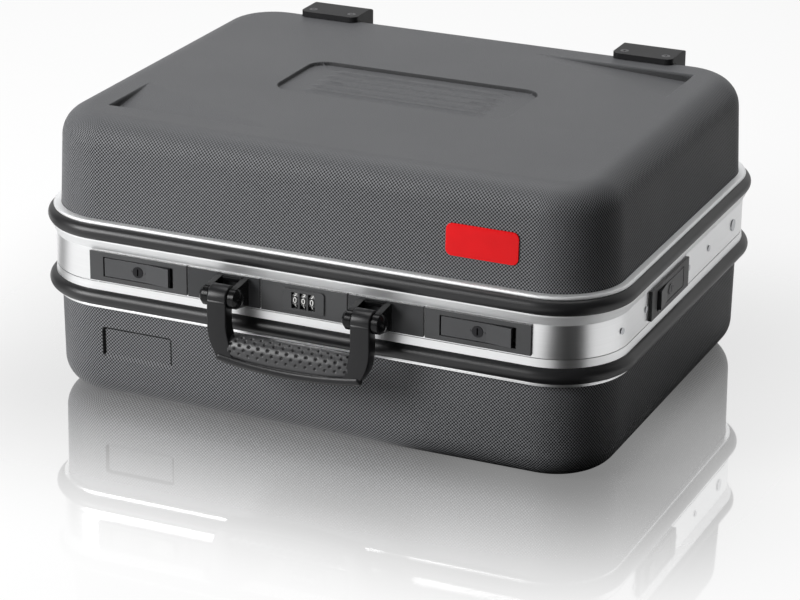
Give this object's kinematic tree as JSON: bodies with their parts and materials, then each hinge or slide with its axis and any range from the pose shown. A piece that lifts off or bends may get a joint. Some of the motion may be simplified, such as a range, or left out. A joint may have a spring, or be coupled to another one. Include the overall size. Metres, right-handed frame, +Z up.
{
  "type": "hard tool case",
  "caption": "Hard tool case with black textured shells, aluminium frames, black bumpers, rocker locks with key plugs, a combination lock and a folding carry handle.",
  "frame": {"origin": "middle of the flat bottom of the base, on the floor", "axes": "+X to the right along the case's width, the front with the handle at -Y, +Z up"},
  "size_m": [0.4902, 0.4134, 0.235],
  "materials": {
    "shell_plastic": "black ABS with a fine pyramid grain",
    "frame_aluminium": "brushed along the band",
    "bumper_rubber": "black, semi-gloss",
    "foot_plastic": "black, satin",
    "plate_plastic": "dark grey, fine grain",
    "lever_plastic": "dark grey, satin",
    "handle_plastic": "black, satin sheen",
    "grip_rubber": "dark soft rubber with dimples",
    "wheel_plastic": "black with light numbers",
    "badge_plastic": "plain red, glossy",
    "key_metal": "dark nickel",
    "fitting_steel": "zinc plated"
  },
  "bodies": {
    "base": {"base_shell": "shell_plastic", "base_frame": "frame_aluminium", "base_bumper": "bumper_rubber", "base_feet": "foot_plastic", "base_foot_screws": "fitting_steel", "keeper_front_left": "fitting_steel", "keeper_front_right": "fitting_steel", "keeper_left": "fitting_steel", "keeper_right": "fitting_steel", "keeper_rivets": "fitting_steel", "hinge_base_leaves": "fitting_steel", "hinge_pins": "fitting_steel", "hinge_base_rivets": "fitting_steel", "stay_posts": "fitting_steel"},
    "lid": {"lid_shell": "shell_plastic", "lid_frame": "frame_aluminium", "lid_bumper": "bumper_rubber", "lid_feet": "foot_plastic", "lid_foot_screws": "fitting_steel", "lid_badge": "badge_plastic", "lock_plate_front_left": "plate_plastic", "lock_plate_front_right": "plate_plastic", "lock_plate_left": "plate_plastic", "lock_plate_right": "plate_plastic", "handle_bracket_left": "plate_plastic", "handle_bracket_right": "plate_plastic", "handle_pins": "fitting_steel", "combination_plate": "plate_plastic", "combination_body": "fitting_steel", "combination_axle": "fitting_steel", "hinge_lid_leaves": "fitting_steel", "hinge_lid_rivets": "fitting_steel", "frame_rivets": "fitting_steel", "stay_studs": "fitting_steel"},
    "handle": {"handle_frame": "handle_plastic", "handle_grip": "grip_rubber"},
    "stay_left": {"stay_arm_left": "fitting_steel"},
    "stay_right": {"stay_arm_right": "fitting_steel"},
    "lock_front_left": {"lever_front_left": "lever_plastic", "hook_front_left": "fitting_steel"},
    "plug_front_left": {"key_front_left": "key_metal"},
    "lock_front_right": {"lever_front_right": "lever_plastic", "hook_front_right": "fitting_steel"},
    "plug_front_right": {"key_front_right": "key_metal"},
    "lock_left": {"lever_left": "lever_plastic", "hook_left": "fitting_steel"},
    "plug_left": {"key_left": "key_metal"},
    "lock_right": {"lever_right": "lever_plastic", "hook_right": "fitting_steel"},
    "plug_right": {"key_right": "key_metal"},
    "wheel_1": {"combination_wheel_1": "wheel_plastic"},
    "wheel_2": {"combination_wheel_2": "wheel_plastic"},
    "wheel_3": {"combination_wheel_3": "wheel_plastic"}
  },
  "joints": [
    {"name": "lid_hinge", "type": "hinge", "parent": "base", "child": "lid", "pos_m": [0, 0.1905, 0.102], "axis": [-1, 0, 0], "range_deg": [0, 90]},
    {"name": "stay_left_pivot", "type": "hinge", "parent": "base", "child": "stay_left", "pos_m": [-0.217, 0.12546, 0.06136], "axis": [-1, 0, 0], "range_deg": [0, 45]},
    {"name": "stay_right_pivot", "type": "hinge", "parent": "base", "child": "stay_right", "pos_m": [0.217, 0.12546, 0.06136], "axis": [-1, 0, 0], "range_deg": [0, 45]},
    {"name": "handle_swing", "type": "hinge", "parent": "lid", "child": "handle", "pos_m": [0, -0.2085, 0.117], "axis": [-1, 0, 0], "range_deg": [0, 150]},
    {"name": "lever_front_left_rock", "type": "hinge", "parent": "lid", "child": "lock_front_left", "pos_m": [-0.142, -0.1835, 0.116], "axis": [0, 0, -1], "range_deg": [0, 11.5]},
    {"name": "key_front_left_turn", "type": "hinge", "parent": "lock_front_left", "child": "plug_front_left", "pos_m": [-0.142, -0.1865, 0.116], "axis": [0, -1, 0], "range_deg": [0, 90]},
    {"name": "lever_front_right_rock", "type": "hinge", "parent": "lid", "child": "lock_front_right", "pos_m": [0.142, -0.1835, 0.116], "axis": [0, 0, -1], "range_deg": [0, 11.5]},
    {"name": "key_front_right_turn", "type": "hinge", "parent": "lock_front_right", "child": "plug_front_right", "pos_m": [0.142, -0.1865, 0.116], "axis": [0, -1, 0], "range_deg": [0, 90]},
    {"name": "lever_left_rock", "type": "hinge", "parent": "lid", "child": "lock_left", "pos_m": [-0.236, -0.044, 0.116], "axis": [0, 0, -1], "range_deg": [0, 11.5]},
    {"name": "key_left_turn", "type": "hinge", "parent": "lock_left", "child": "plug_left", "pos_m": [-0.239, -0.044, 0.116], "axis": [-1, 0, 0], "range_deg": [0, 90]},
    {"name": "lever_right_rock", "type": "hinge", "parent": "lid", "child": "lock_right", "pos_m": [0.236, -0.044, 0.116], "axis": [0, 0, 1], "range_deg": [0, 11.5]},
    {"name": "key_right_turn", "type": "hinge", "parent": "lock_right", "child": "plug_right", "pos_m": [0.239, -0.044, 0.116], "axis": [1, 0, 0], "range_deg": [0, 90]},
    {"name": "number_wheel_1", "type": "hinge", "parent": "lid", "child": "wheel_1", "pos_m": [-0.007, -0.1815, 0.116], "axis": [1, 0, 0], "continuous": true},
    {"name": "number_wheel_2", "type": "hinge", "parent": "lid", "child": "wheel_2", "pos_m": [0, -0.1815, 0.116], "axis": [1, 0, 0], "continuous": true},
    {"name": "number_wheel_3", "type": "hinge", "parent": "lid", "child": "wheel_3", "pos_m": [0.007, -0.1815, 0.116], "axis": [1, 0, 0], "continuous": true}
  ],
  "couplings": [
    {"joint": "stay_left_pivot", "follows": "lid_hinge", "ratio": 0.5},
    {"joint": "stay_right_pivot", "follows": "lid_hinge", "ratio": 0.5}
  ]
}
